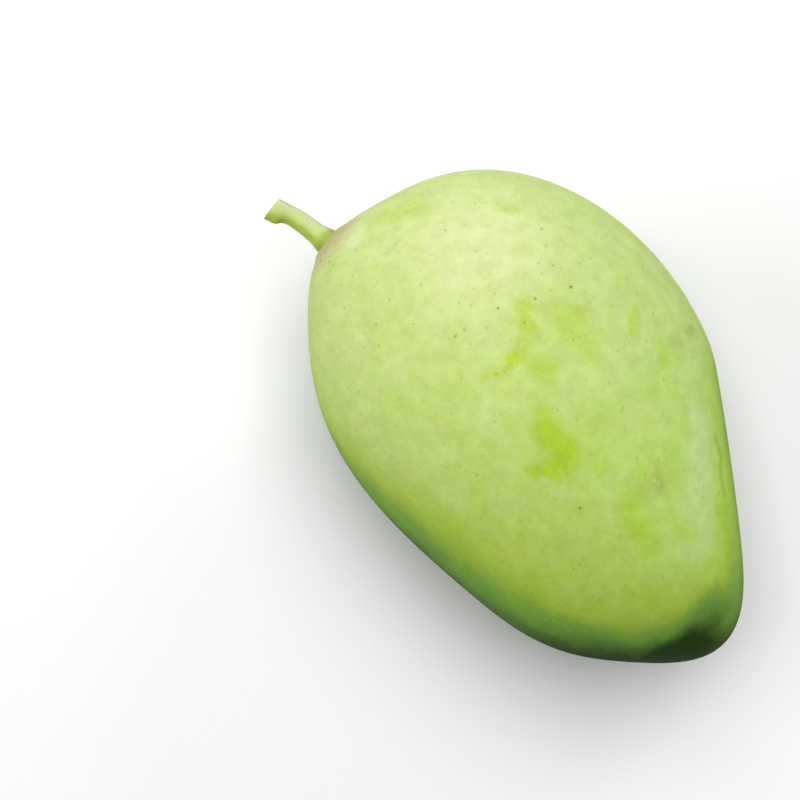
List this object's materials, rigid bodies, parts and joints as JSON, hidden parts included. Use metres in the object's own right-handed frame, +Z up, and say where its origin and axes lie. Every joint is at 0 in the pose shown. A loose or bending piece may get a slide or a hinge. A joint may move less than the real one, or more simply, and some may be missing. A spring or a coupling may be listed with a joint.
{
  "type": "mango",
  "caption": "Whole unripe green mango, egg-shaped with a blunt tip, lying on one cheek, with a short bent length of its stalk.",
  "frame": {"origin": "middle of the small flat spot under the fruit that it lies on, at the height of the surface", "axes": "+X along the fruit from the stalk end to the tip, +Y towards the high back edge, +Z up through the two cheeks"},
  "size_m": [0.1334, 0.0798, 0.0674],
  "materials": {
    "skin": "smooth waxy fruit skin, yellow-green, with a pale powdery bloom rubbed off in patches, and small darker pores",
    "stalk": "matt green stalk, paler and scurfy on one side, browned at the cut end"
  },
  "bodies": {
    "root": {"fruit": "skin", "stalk": "stalk"}
  },
  "joints": []
}
